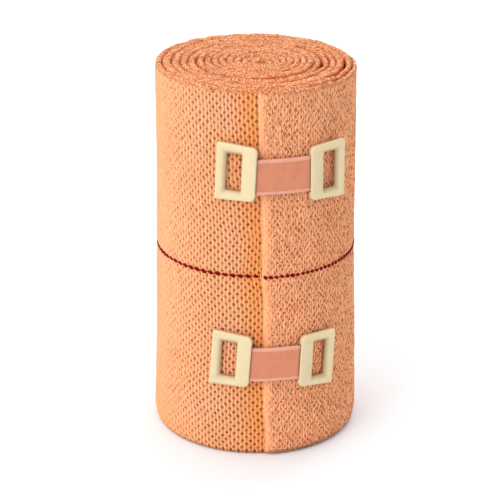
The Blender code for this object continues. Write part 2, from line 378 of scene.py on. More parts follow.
def gap_strength(turns):
    """How far the turns on both sides of a line of the winding stand apart, from 0 to 1."""
    strength = np.zeros_like(np.asarray(turns, dtype=float))
    for middle, half_length, size in GAPS:
        distance = np.clip(np.abs(turns - middle) / half_length, 0.0, 1.0)
        strength = np.maximum(strength, size * np.cos(distance * math.pi / 2.0) ** 2)
    return strength


def place_on_winding(turns, height, radius, sideways=0.0):
    """Points of the cloth; sideways is a shift along the winding in metres."""
    safe_radius = np.maximum(radius, 1.0 * MM)
    azimuth = edge_azimuth(height) + turns * math.tau + sideways / safe_radius
    wide = radius * spread(height) - foot_curl(height, radius)
    x = wide * np.sin(azimuth)
    y = -wide * np.cos(azimuth)
    nearness = np.clip(1.0 - radius / SQUASH_REACH, 0.0, 1.0)
    y = y * (1.0 - EYE_SQUASH * nearness**2)
    x = x + EYE_OFFSET * np.clip(1.0 - radius / winding_radius(1.0), 0.0, 1.0)
    return np.stack(np.broadcast_arrays(x + AXIS_X, y + AXIS_Y, height), axis=-1)


def top_height(turns, radius):
    """The height of a turn's edge, which dips towards the back of the roll."""
    azimuth = edge_azimuth(CLOTH_WIDTH) + turns * math.tau
    towards_back = (1.0 - np.cos(azimuth)) / 2.0
    dip = BACK_DIP * towards_back * (radius / winding_radius(0.0)) ** 2
    return CLOTH_WIDTH - table(TELESCOPE, turns) * MM - dip


def foot_height(radius):
    """The cloth's foot, which lies flat under the inner turns and rises under the outer ones."""
    flat_radius = FOOT_FLAT_SHARE * winding_radius(0.0)
    share = (radius - flat_radius) / (winding_radius(0.0) - flat_radius)
    return FOOT_LIFT * np.maximum(share, 0.0) ** 2


def noise_field(x, y, z):
    """Smooth noise from -1 to 1 at every point of two arrays."""
    flat = [noise.noise(Vector((a, b, z))) for a, b in zip(x.ravel(), y.ravel())]
    return np.array(flat).reshape(x.shape)


def add_piece(name, points, faces, material):
    """Put a smooth mesh in the scene."""
    mesh = bpy.data.meshes.new(name)
    mesh.from_pydata(points, [], faces)
    mesh.shade_smooth()
    mesh.materials.append(material)
    item = bpy.data.objects.new(name, mesh)
    bpy.context.scene.collection.objects.link(item)
    return item


def add_attribute(item, name, values):
    """Store a number or a vector for each point of a piece."""
    is_vector = values.ndim > 1 and values.shape[-1] == 3
    kind, field = ("FLOAT_VECTOR", "vector") if is_vector else ("FLOAT", "value")
    attribute = item.data.attributes.new(name, kind, "POINT")
    attribute.data.foreach_set(field, values.astype(np.float32).ravel())


# The crepe's pattern


def lattice_columns(start, stop):
    """Turns at each column of points from start to stop, and the count of repeats there."""
    fine = np.linspace(0.0, CLOTH_TURNS + 0.5, LATTICE_SAMPLES)
    middle = (fine[1:] + fine[:-1]) / 2.0
    arc = winding_radius(middle) * spread(CLOTH_WIDTH / 2.0) * math.tau * np.diff(fine)
    repeats = np.concatenate(((0.0,), np.cumsum(arc / (table(COLUMN_REPEAT, middle) * MM))))
    first = math.ceil(np.interp(start, fine, repeats) * POINTS_PER_REPEAT - 1e-9)
    last = math.floor(np.interp(stop, fine, repeats) * POINTS_PER_REPEAT)
    counts = np.arange(first, last + 1) / POINTS_PER_REPEAT
    return np.interp(counts, repeats, fine), counts


def crepe_relief(column, row, openness):
    """Height of the cloth over its mean: threads that run up it, with holes between them."""
    wave = np.cos(math.tau * column) * np.cos(math.tau * row)
    holes = np.clip(wave, 0.0, 1.0) ** 3
    knots = np.clip(-wave, 0.0, 1.0)
    threads = (1.0 - np.cos(2.0 * math.tau * column)) / 2.0
    raised = THREAD_RISE * threads + KNOT_HEIGHT * knots
    return raised * (0.3 + 0.7 * openness) - HOLE_DEPTH * holes * openness


def crepe_puckers(column, row):
    """Fine puckers between the holes."""
    grain = noise_field(column / 0.50, (row + 0.30 * column) / 0.80, 2.9)
    return grain + 0.25 * noise_field(column / 3.0, row / 3.0, 1.7)


def crepe_drift(column, row):
    """How far the lattice strays along the winding, as a share of its full drift."""
    drift = noise_field(column / 6.0, row / 5.0, 3.1)
    return drift + 0.5 * noise_field(column / 2.3, row / 2.2, 8.4)


def thread_swing(column, row, openness):
    """The threads between the holes swing from side to side round them."""
    return THREAD_SWING * openness * np.sin(math.tau * column) * np.cos(math.tau * row)


# The cloth


def turn_shape(turns, counts):
    """The cloth's top and foot along the winding, and a function for the radius of its sides."""
    outer_line = winding_radius(turns)
    inner_line = winding_radius(turns + 1.0)
    middle_line = (outer_line + inner_line) / 2.0
    buried = smooth_step(*GOES_UNDER, turns)
    level = np.zeros_like(turns)
    uneven = noise_field(counts / EDGE_WAVE, level, 2.2)
    uneven = uneven + SHORT_EDGE_SHARE * noise_field(counts / SHORT_EDGE_WAVE, level, 6.2)
    top = top_height(turns, middle_line) + EDGE_UNEVEN * uneven
    outer_wave = noise_field(counts / GAP_WAVE, level, 4.4)
    inner_wave = noise_field(counts / GAP_WAVE, level, 7.9)

    def side_radius(height, outer):
        line = outer_line if outer else inner_line
        there = turns if outer else turns + 1.0
        wave = outer_wave if outer else inner_wave
        reach = np.clip(1.0 - (top - height) / WIDE_GAP_REACH, 0.0, 1.0)
        gap = np.maximum(TURN_GAP + TURN_GAP_UNEVEN * wave * reach**3, SMALLEST_GAP)
        half_gap = (gap + WIDE_GAP * gap_strength(there) * reach**0.5) / 2.0
        if outer:
            return line - half_gap * buried
        return line + half_gap - END_PRESS * smooth_step(*END_PRESS_STRETCH, turns)

    return top, foot_height(middle_line), side_radius


def crown_point(angle, base, outside, inside):
    """Radius and rise on the round edge of the cloth, from its outer side to its inner one."""
    radius = inside + (outside - inside) * (1.0 + math.cos(angle)) / 2.0
    return radius, base + CROWN_RISE * math.sin(angle)


def cloth_section(turns, counts, side_rows):
    """Rows round the cloth's section: up its outer side, over its top, down inside, under.

    Gives radius, height, the row's place on the crepe, how near the top edge it is and how
    deep between two turns, which sets the painted shade of the gap, for every row and column.
    """
    top, foot, side_radius = turn_shape(turns, counts)
    radius, height, inward = [], [], []

    def add_side(rows, outer):
        for share in rows:
            level = foot + CROWN_RISE + share * (top - foot - 2.0 * CROWN_RISE)
            radius.append(side_radius(level, outer))
            height.append(level)
            inward.append(0.0 if outer else 1.0)

    def add_crown(base, steps, sign):
        first = side_radius(base, sign > 0)
        last = side_radius(base, sign < 0)
        for step in range(1, steps):
            angle = math.pi * step / steps
            round_radius, risen = crown_point(angle, base, first, last)
            radius.append(round_radius)
            height.append(base + (risen - base) * sign)
            inward.append((1.0 - sign * math.cos(angle)) / 2.0)

    add_side(side_rows, True)
    add_crown(top - CROWN_RISE, CROWN_STEPS, 1)
    add_side(INNER_SIDE_ROWS, False)
    add_crown(foot + CROWN_RISE, FOOT_CROWN_STEPS, -1)
    radius = np.array(radius)
    height = np.array(height)
    along = np.hypot(np.diff(radius, axis=0), np.diff(height, axis=0)).mean(axis=1)
    row = np.concatenate(((0.0,), np.cumsum(along))) / ROW_REPEAT
    row = np.repeat(row[:, None], len(turns), axis=1)

    below_top = top - height
    near_top = smooth_step(*CORD_FADE, below_top)
    on_outer_side = np.array(inward)[:, None] < 0.5
    hidden = np.where(on_outer_side, smooth_step(*IS_HIDDEN, turns), 1.0)
    ragged = RAGGED_EDGE * noise_field(counts / RAGGED_WAVE, np.zeros_like(counts), 3.6)
    # Painted shade: the share of gap shade painted on a turn's sides below its top edge
    between = hidden * smooth_step(*GAP_FADE, below_top + ragged)
    return radius, height, row, near_top, between


def grid_normals(points):
    """Outward normals of a grid that is closed along its rows' axis."""
    up = np.roll(points, -1, axis=0) - np.roll(points, 1, axis=0)
    along = np.gradient(points, axis=1)
    normals = np.cross(along, up)
    length = np.linalg.norm(normals, axis=-1, keepdims=True)
    return normals / np.maximum(length, 1e-12)


def round_end(radius, turns_in):
    """Draw the outer side of the cut end in towards its inner side."""
    arc = turns_in * math.tau * winding_radius(0.0)
    closeness = np.clip(1.0 - arc / END_ROUNDING, 0.0, 1.0)
    inner_line = winding_radius(turns_in + 1.0)
    return radius - (radius - inner_line) * END_ROUNDING_SHARE * closeness**3


def make_cloth(name, start, stop, side_rows, round_start, material):
    turns, counts = lattice_columns(start, stop)
    radius, height, row, near_top, between = cloth_section(turns, counts, side_rows)
    turn_grid = np.repeat(turns[None, :], len(row), axis=0)
    column = np.repeat(counts[None, :], len(row), axis=0)
    openness = table(OPENNESS, turn_grid) * (1.0 - near_top)
    texture = table(TEXTURE, turn_grid)

    sideways = COLUMN_DRIFT * crepe_drift(column, row) + thread_swing(column, row, openness)
    azimuth = edge_azimuth(height) + turn_grid * math.tau
    on_wall = smooth_step(*ON_WALL, turn_grid)
    wobbles = on_wall * (height < CLOTH_WIDTH - WOBBLE_STOP)
    uneven = radius + wall_wobble(azimuth, height) * wobbles
    if round_start:
        uneven = round_end(uneven, turn_grid)
    points = place_on_winding(turn_grid, height, uneven, sideways)

    puckers = table(PUCKERS, turn_grid) * MM * crepe_puckers(column, row)
    relief = crepe_relief(column, row, openness) + puckers
    relief = relief * (PLAIN_RELIEF + (1.0 - PLAIN_RELIEF) * texture)
    groove = GROOVE_DEPTH * bell(height - THREAD_HEIGHT, GROOVE_REACH)
    groove = groove * on_wall * smooth_step(*GROOVE_STRETCH, turn_grid)
    points = points + grid_normals(points) * (relief - groove)[..., None]
    points[..., 2] = np.maximum(points[..., 2], 0.0)

    rows, columns = row.shape
    index = np.arange(rows * columns).reshape(rows, columns)
    after = np.roll(index, -1, axis=0)
    quads = np.stack((index[:, :-1], index[:, 1:], after[:, 1:], after[:, :-1]), axis=-1)
    faces = quads.reshape(-1, 4).tolist()
    faces.append(index[:, 0].tolist())
    faces.append(index[::-1, -1].tolist())

    item = add_piece(name, points.reshape(-1, 3).tolist(), faces, material)
    # Painted shade on the turn beneath, just before the loose end's edge
    edge_shade = smooth_step(*EDGE_SHADE_START, turn_grid) * smooth_step(*EDGE_SHADE_STOP, turn_grid)
    add_attribute(item, "cloth_place", np.stack((column, row, openness), axis=-1))
    add_attribute(item, "cloth_edge", np.stack((near_top, between, texture), axis=-1))
    add_attribute(item, "cloth_edge_shade", edge_shade)
    add_attribute(item, "cloth_lift", relief / MM)
    return item


def unit(vectors):
    return vectors / np.linalg.norm(vectors, axis=-1, keepdims=True)


def make_selvedge(name, material):
    """Loops of thread that lie over the top edge of every turn, across the cloth."""
    all_turns, all_counts = lattice_columns(0.0, CLOTH_TURNS)
    first_count = all_counts[0] + LOOP_SPACING
    counts = np.arange(first_count, all_counts[-1] - LOOP_SPACING, LOOP_SPACING)
    level = np.zeros_like(counts)
    counts = counts + LOOP_SHAKE * LOOP_SPACING * noise_field(counts * 3.7, level, 1.3)
    turns = np.interp(counts, all_counts, all_turns)
    top, _, side_radius = turn_shape(turns, counts)
    base = top - CROWN_RISE
    outside = side_radius(base, True)
    inside = side_radius(base, False)
    lean = LOOP_LEAN * noise_field(counts * 2.1, level, 5.5)
    slow = noise_field(counts * 0.8, level, 6.6)
    lift = LOOP_RISE * (noise_field(counts * 1.7, level, 9.5) + slow)
    size = LOOP_THICKNESS * (1.0 + 0.35 * noise_field(counts * 2.9, level, 3.3) + 0.45 * slow)

    centres = []
    for step in range(LOOP_STEPS + 1):
        angle = math.pi * (LOOP_ARC[0] + LOOP_ARC[1] * step / LOOP_STEPS)
        radius, height = crown_point(angle, base, outside, inside)
        sideways = lean * math.cos(angle)
        risen = height + lift * math.sin(angle)
        centres.append(place_on_winding(turns, risen, radius, sideways))
    centres = np.array(centres)
    here = place_on_winding(turns, base, outside)
    along = unit(place_on_winding(turns + 0.0005, base, outside) - here)
    out = unit(np.cross(np.gradient(centres, axis=0), along))

    loops = []
    for step in range(LOOP_STEPS + 1):
        taper = LOOP_TAPER + (1.0 - LOOP_TAPER) * math.sin(math.pi * step / LOOP_STEPS)
        for side in range(LOOP_SIDES):
            turn = math.tau * side / LOOP_SIDES
            push = along * math.cos(turn) + out[step] * (LOOP_FLATNESS * math.sin(turn))
            loops.append(centres[step] + push * (size * taper / 2.0)[:, None])
    points = np.stack(loops, axis=1)
    loop_count, loop_points, _ = points.shape
    pattern = []
    for ring in range(0, loop_points - LOOP_SIDES, LOOP_SIDES):
        for side in range(LOOP_SIDES):
            corner = ring + side
            after = ring + (side + 1) % LOOP_SIDES
            pattern.append((corner, corner + LOOP_SIDES, after + LOOP_SIDES, after))
    pattern.append(range(LOOP_SIDES))
    pattern.append(range(loop_points - 1, loop_points - LOOP_SIDES - 1, -1))
    faces = []
    for first in range(0, loop_count * loop_points, loop_points):
        faces += [tuple(first + corner for corner in face) for face in pattern]
    return add_piece(name, points.reshape(-1, 3).tolist(), faces, material)


# The clips


def turns_at(azimuth, height):
    return (azimuth - edge_azimuth(height)) / math.tau


def wall_radius(turns, height):
    """Radius of the roll's wall, with the full height of its wobble."""
    return float(winding_radius(turns) * spread(height)) + WALL_WOBBLE


def loose_end_radius(azimuth, height):
    """Radius over the last turn's wall, carried on level past the loose end's edge."""
    return wall_radius(turns_at(azimuth, height), height)


def outward(azimuth):
    return Vector((math.sin(azimuth), -math.cos(azimuth), 0.0))


def frame_matrix(middle, touch, height, turn):
    """Place a frame flat against the cloth, leaning with the wall and turned in its plane."""
    middle_azimuth = math.radians(middle)
    touch_azimuth = math.radians(touch)
    normal = outward(touch_azimuth)
    along = Vector((math.cos(touch_azimuth), math.sin(touch_azimuth), 0.0))
    distance = wall_radius(turns_at(touch_azimuth, height) % 1.0, height) + CLEARANCE
    shift = distance * math.tan(middle_azimuth - touch_azimuth)
    spot = normal * distance + along * shift + Vector((AXIS_X, AXIS_Y, height))
    lean = math.atan((FOOT_SPREAD - 1.0) * float(winding_radius(0.5)) / CLOTH_WIDTH)
    turned = (
        Matrix.Rotation(touch_azimuth, 4, "Z")
        @ Matrix.Rotation(-lean, 4, "X")
        @ Matrix.Rotation(-math.radians(turn), 4, "Y")
    )
    return Matrix.Translation(spot) @ turned


def frame_outline(
    left, right, left_half_height, right_half_height, left_radius, right_radius, slot=0.0
):
    """A four-sided outline with round corners and, on its strap side, the slot's mouth."""
    corners = (
        # centre of the round, its radius
        (right - right_radius, right_half_height - right_radius, right_radius),
        (left + left_radius, left_half_height - left_radius, left_radius),
        (left + left_radius, left_radius - left_half_height, left_radius),
        (right - right_radius, right_radius - right_half_height, right_radius),
    )
    points = []
    for quarter, (x, z, radius) in enumerate(corners):
        for step in range(CORNER_STEPS):
            angle = math.pi / 2.0 * (quarter + step / (CORNER_STEPS - 1))
            points.append((x + radius * math.cos(angle), z + radius * math.sin(angle)))
    slot_side = max(right_half_height - right_radius - 0.1 * MM, 0.0)
    mouth = min(SLOT_HALF_HEIGHT, slot_side)
    points += [(right, -mouth - SLOT_EDGE), (right - slot, -mouth)]
    points += [(right - slot, mouth), (right, mouth + SLOT_EDGE)]
    return points


def frame_loops():
    """Loops of (depth, painted shade, outline): up the outer side, over the front, into the window.

    The painted shade tells how far the enamel is darkened as painted shade by how shut in the loop
    is, from 0 on the front to 1.
    """
    half_width = FRAME_WIDTH / 2.0
    outer_half = FRAME_OUTER_HEIGHT / 2.0
    strap_half = FRAME_STRAP_HEIGHT / 2.0
    window_start = -half_width + OUTER_BAR_WIDTH
    window_half = WINDOW_HEIGHT / 2.0

    def outer(inset, depth, slot=0.0):
        strap_inset = inset * STRAP_SLOPE_SHARE
        # Painted shade: the outer sides are painted darker towards the back, where the frame meets
        # the cloth
        painted_shade = max(0.0, 1.0 - depth / SLOT_HIGH)
        return depth, painted_shade, frame_outline(
            -half_width + inset,
            half_width - strap_inset,
            outer_half - inset,
            strap_half - inset,
            max(OUTER_CORNER_RADIUS - inset, 0.1 * MM),
            STRAP_CORNER_RADIUS - strap_inset,
            slot,
        )

    def window(share, depth):
        # Painted shade: the window's chamfer is painted darker the deeper it goes
        painted_shade = min(1.0, max(0.0, 1.1 - share))
        return depth, painted_shade, frame_outline(
            window_start - CHAMFER_WIDTH * share,
            window_start + WINDOW_WIDTH + CHAMFER_STRAP_SIDE * share,
            window_half + CHAMFER_WIDTH * share,
            window_half + CHAMFER_WIDTH * share,
            WINDOW_CORNER_RADIUS,
            WINDOW_CORNER_RADIUS,
        )

    loops = [
        outer(BACK_INSET, 0.0),
        outer(0.0, BACK_INSET),
        outer(0.0, SLOT_LOW),
        outer(0.0, SLOT_LOW + SLOT_EDGE, SLOT_DEPTH),
        outer(0.0, SLOT_HIGH - SLOT_EDGE, SLOT_DEPTH),
        outer(0.0, SLOT_HIGH),
    ]
    for step in range(ROUND_STEPS + 1):
        angle = math.pi / 2.0 * step / ROUND_STEPS
        inset = OUTER_SLOPE * (1.0 - math.cos(angle))
        depth = FRAME_THICKNESS - OUTER_DROP * (1.0 - math.sin(angle))
        loops.append(outer(inset, depth))
    for share, below_front in WINDOW_RIMS:
        loops.append(window(share, FRAME_THICKNESS - below_front * MM))
    return loops


def make_frame(name, strap_side, placed, material):
    points = []
    painted_shades = []
    loops = frame_loops()
    for depth, painted_shade, outline in loops:
        points += [placed @ Vector((strap_side * x, -depth, z)) for x, z in outline]
        painted_shades += [painted_shade] * len(outline)
    count = len(points) // len(loops)
    faces = []
    for loop in range(len(loops)):
        here = loop * count
        there = (loop + 1) % len(loops) * count
        for i in range(count):
            after = (i + 1) % count
            quad = (here + i, here + after, there + after, there + i)
            faces.append(quad if strap_side > 0 else quad[::-1])
    item = add_piece(name + "_pressed", points, faces, material)
    add_attribute(item, "frame_painted_shade", np.array(painted_shades))
    item.data.set_sharp_from_angle(angle=math.radians(FRAME_SHARP_ANGLE))
    return item


def slot_end(placed, strap_side, height):
    """Azimuth and radius of a frame's slot mouth at a height."""
    slot_middle = (SLOT_LOW + SLOT_HIGH) / 2.0
    depth_in = FRAME_WIDTH / 2.0 - STRAP_IN_SLOT_SHARE * SLOT_DEPTH
    low = placed @ Vector((strap_side * depth_in, -slot_middle, -FRAME_STRAP_HEIGHT / 2.0))
    high = placed @ Vector((strap_side * depth_in, -slot_middle, FRAME_STRAP_HEIGHT / 2.0))
    share = (height - low.z) / (high.z - low.z)
    point = low.lerp(high, share)
    x, y = point.x - AXIS_X, point.y - AXIS_Y
    return math.atan2(x, -y), math.hypot(x, y)


def strap_section():
    """The strap's outline: across it and over its middle plane, with rolled selvedges."""
    half = STRAP_WIDTH / 2.0

    def section_point(step):
        across = -half + STRAP_WIDTH * step / STRAP_SECTION_STEPS
        from_edge = half - abs(across)
        closing = math.sqrt(min(1.0, from_edge / SIDE_ROUNDING + 0.02))
        return across, from_edge, STRAP_THICKNESS * closing

    outline = []
    for step in range(STRAP_SECTION_STEPS + 1):
        across, from_edge, thickness = section_point(step)
        welt = WELT_SHARE * bell(from_edge - WELT_PLACE, WELT_REACH)
        groove = SELVEDGE_GROOVE_SHARE * bell(from_edge - SELVEDGE_WIDTH, SELVEDGE_GROOVE_REACH)
        outline.append((across, thickness * float(WEB_SHARE + welt - groove)))
    for step in range(STRAP_SECTION_STEPS, -1, -STRAP_BACK_STEP):
        across, _, thickness = section_point(step)
        outline.append((across, -thickness * WEB_SHARE))
    return outline


def make_strap(name, left, right, left_height, right_height, material):
    """left and right are (matrix, strap side) of the two frames."""
    points = []
    places = []
    section = strap_section()
    resting = CLEARANCE + STRAP_THICKNESS / 2.0
    for step in range(STRAP_STEPS + 1):
        share = step / STRAP_STEPS
        middle_height = left_height + share * (right_height - left_height)
        for across, over in section:
            height = middle_height + across
            start, start_radius = slot_end(*left, height)
            stop, stop_radius = slot_end(*right, height)
            azimuth = start + share * (stop - start)
            lying = loose_end_radius(azimuth, height) + resting
            span = (stop - start) * lying
            left_end = (start, start_radius, share * span)
            right_end = (stop, stop_radius, (1.0 - share) * span)
            lift = 0.0
            for end, end_radius, distance in (left_end, right_end):
                end_lift = end_radius - loose_end_radius(end, height) - resting
                lift += end_lift * max(0.0, 1.0 - distance / STRAP_LIFT_REACH) ** 2
            nearest = min(share, 1.0 - share) * span
            pinch = 1.0 - END_PINCH * (1.0 - min(1.0, nearest / END_PINCH_REACH))
            point = outward(azimuth) * (lying + lift + over * pinch)
            points.append((point.x + AXIS_X, point.y + AXIS_Y, height))
            # The distance to the nearer end also sets the painted shade at the strap's ends
            places.append((share * span / MM, across / MM, nearest / MM))
    count = len(section)
    faces = []
    for here in range(0, STRAP_STEPS * count, count):
        there = here + count
        for i in range(count):
            after = (i + 1) % count
            faces.append((here + i, there + i, there + after, here + after))
    faces.append(tuple(range(count)))
    faces.append(tuple(range(len(points) - 1, len(points) - count - 1, -1)))
    item = add_piece(name + "_webbing", points, faces, material)
    add_attribute(item, "strap_place", np.array(places))
    item.data.set_sharp_from_angle(angle=math.radians(STRAP_SHARP_ANGLE))
    return item


# The marker thread


def thread_ring(turns, height, radius, thickness, flatness):
    """Points round the marker thread at one place on the winding."""
    ring = []
    half = thickness / 2.0
    for step in range(THREAD_SIDES):
        turn = math.tau * step / THREAD_SIDES
        ring_radius = radius + flatness * half * math.sin(turn)
        ring_height = height + half * math.cos(turn)
        ring.append(place_on_winding(turns, ring_height, ring_radius).tolist())
    return ring


def add_tube(points, faces, rings):
    """Join rings of points into a closed tube."""
    first = len(points)
    for ring in rings:
        points += ring
    last = len(points) - THREAD_SIDES
    for start in range(first, last, THREAD_SIDES):
        for step in range(THREAD_SIDES):
            here = start + step
            after = start + (step + 1) % THREAD_SIDES
            faces.append((here, after, after + THREAD_SIDES, here + THREAD_SIDES))
    faces.append(tuple(first + step for step in reversed(range(THREAD_SIDES))))
    faces.append(tuple(last + step for step in range(THREAD_SIDES)))


def make_thread(name, material):
    """A raised stitch for each column of holes of the last turn, and the thread that joins them."""
    turns, counts = lattice_columns(0.0, LAST_TURN_STOP)
    points, faces = [], []
    last_count = float(np.interp(THREAD_STOP, turns, counts))
    for middle in np.arange(math.ceil(counts[0]) + 0.5, last_count - 0.3):
        before, centre, after = np.interp((middle - 0.5, middle, middle + 0.5), counts, turns)
        wander = noise.noise(Vector((middle * 0.7, 4.0, 0.0)))
        size = 0.95 + 0.3 * noise.noise(Vector((middle * 1.9, 9.0, 0.0)))
        half_length = STITCH_LENGTH_SHARE / 2.0 * (after - before) * size
        height = THREAD_HEIGHT + STITCH_WANDER * wander
        rings = []
        for ring in range(STITCH_RINGS):
            angle = math.pi * (ring + 0.5) / STITCH_RINGS
            there = centre - math.cos(angle) * half_length
            thickness = math.sin(angle) ** 0.4 * STITCH_THICKNESS * size
            slant = STITCH_SLANT * math.cos(angle)
            radius = winding_radius(there) + STITCH_LIFT
            rings.append(thread_ring(there, height + slant, radius, thickness, STITCH_FLATNESS))
        add_tube(points, faces, rings)
    stitch_points = len(points)
    rings = []
    for count in np.arange(counts[2], last_count, 1.0 / POINTS_PER_REPEAT):
        there = np.interp(count, counts, turns)
        height = THREAD_HEIGHT + CORE_WANDER * noise.noise(Vector((count * 1.3, 2.0, 0.0)))
        radius = winding_radius(there) + CORE_LIFT
        rings.append(thread_ring(there, height, radius, CORE_THICKNESS, CORE_FLATNESS))
    add_tube(points, faces, rings)
    item = add_piece(name, points, faces, material)
    in_core = np.arange(len(points)) >= stitch_points
    add_attribute(item, "thread_core", in_core.astype(float))
    return item


# Materials


class Nodes:
    """A short way to add linked nodes to a material or to the world."""

    def __init__(self, owner):
        self.owner = owner
        owner.use_nodes = True
        self.tree = owner.node_tree

    def add(self, kind, inputs=(), **settings):
        node = self.tree.nodes.new(kind)
        for name, value in settings.items():
            setattr(node, name, value)
        for socket, value in dict(inputs).items():
            self.set(node.inputs[socket], value)
        return node

    def set(self, socket, value):
        if isinstance(value, bpy.types.NodeSocket):
            self.tree.links.new(value, socket)
        else:
            socket.default_value = value

    def math(self, operation, first, second=0.0):
        inputs = {0: first, 1: second}
        return self.add("ShaderNodeMath", inputs, operation=operation).outputs[0]

    def sum(self, first, second):
        return self.math("ADD", first, second)

    def product(self, first, second):
        return self.math("MULTIPLY", first, second)

    def mix(self, factor, first, second):
        """Mix two colours, which are sockets 6 and 7 of the node, with the result in socket 2."""
        inputs = {"Factor": factor, 6: first, 7: second}
        return self.add("ShaderNodeMix", inputs, data_type="RGBA").outputs[2]

    def mix_numbers(self, factor, first, second):
        inputs = {"Factor": factor, "A": first, "B": second}
        return self.add("ShaderNodeMix", inputs, data_type="FLOAT").outputs["Result"]

    def range(self, value, low, high, to_low=0.0, to_high=1.0):
        """Map low to high smoothly onto to_low to to_high, and hold the ends."""
        inputs = {"Value": value, "From Min": low, "From Max": high}
        inputs.update({"To Min": to_low, "To Max": to_high})
        node = self.add("ShaderNodeMapRange", inputs, interpolation_type="SMOOTHSTEP")
        return node.outputs["Result"]

    def scaled(self, colour, shade):
        inputs = {0: colour, 3: shade}
        return self.add("ShaderNodeVectorMath", inputs, operation="SCALE").outputs[0]

    def split(self, vector):
        return self.add("ShaderNodeSeparateXYZ", {0: vector}).outputs

    def stretched(self, vector, scale, angle=0.0):
        """The vector turned by an angle about Z and scaled."""
        inputs = {"Vector": vector, "Scale": scale, "Rotation": (0.0, 0.0, angle)}
        return self.add("ShaderNodeMapping", inputs).outputs["Vector"]

    def object_place(self):
        return self.add("ShaderNodeTexCoord").outputs["Object"]

    def noise(self, vector, scale, detail=2.0, roughness=0.5):
        inputs = {"Vector": vector, "Scale": scale, "Detail": detail, "Roughness": roughness}
        return self.add("ShaderNodeTexNoise", inputs).outputs["Fac"]

    def stored_number(self, name):
        return self.add("ShaderNodeAttribute", attribute_name=name).outputs["Fac"]

    def stored_vector(self, name):
        return self.add("ShaderNodeAttribute", attribute_name=name).outputs["Vector"]

    def bump(self, relief, strength, distance):
        inputs = {"Height": relief, "Strength": strength, "Distance": distance}
        return self.add("ShaderNodeBump", inputs).outputs["Normal"]

    def finish(self, node, inputs):
        """Set the inputs of the node that ends the tree, and give the material or the world."""
        for socket, value in inputs.items():
            self.set(self.tree.nodes[node].inputs[socket], value)
        return self.owner


THREAD_COLOUR = (0.95, 0.405, 0.185, 1.0)
THREAD_PINK = (0.95, 0.425, 0.235, 1.0)
THREAD_SHADED_ORANGE = (0.95, 0.322, 0.088, 1.0)
THREAD_SLACK = (0.98, 0.410, 0.200, 1.0)
SMOOTH_COLOUR = (0.97, 0.47, 0.24, 1.0)
PIT_SHADE_COLOUR = (0.62, 0.18, 0.055, 1.0)
CLOSED_HOLE_SHADE_COLOUR = (0.52, 0.130, 0.040, 1.0)
CORD_GAP_SHADE_COLOUR = (0.42, 0.105, 0.030, 1.0)
GAP_SHADE_COLOUR = (0.90, 0.200, 0.045, 1.0)
HOLE_SHADE_COLOUR = (0.32, 0.065, 0.012, 1.0)
SHEEN_COLOUR = (1.0, 0.62, 0.42, 1.0)
SELVEDGE_DEEP = (0.92, 0.405, 0.180, 1.0)
SELVEDGE_PALE = (0.96, 0.485, 0.270, 1.0)
STRAP_DEEP = (0.60, 0.190, 0.090, 1.0)
STRAP_SHEEN_COLOUR = (0.66, 0.225, 0.118, 1.0)
STRAP_SIDE_COLOUR = (0.76, 0.38, 0.27, 1.0)
ENAMEL_DEEP = (0.71, 0.565, 0.320, 1.0)
ENAMEL_PALE = (0.735, 0.595, 0.355, 1.0)
ENAMEL_EDGE_COLOUR = (0.72, 0.66, 0.41, 1.0)
ENAMEL_PAINTED_SHADE = (0.36, 0.235, 0.105, 1.0)
STITCH_DARK = (0.13, 0.003, 0.004, 1.0)
STITCH_RED = (0.26, 0.008, 0.008, 1.0)
CORE_RED = (0.52, 0.045, 0.030, 1.0)
FLOOR_DEEP = (0.812, 0.850, 0.875, 1.0)
FLOOR_PALE = (0.822, 0.860, 0.885, 1.0)

# In repeats of the crepe
HOLE_WIDTH = 0.15
HOLE_HEIGHT = 0.24
CORDS_PER_REPEAT = 3.2


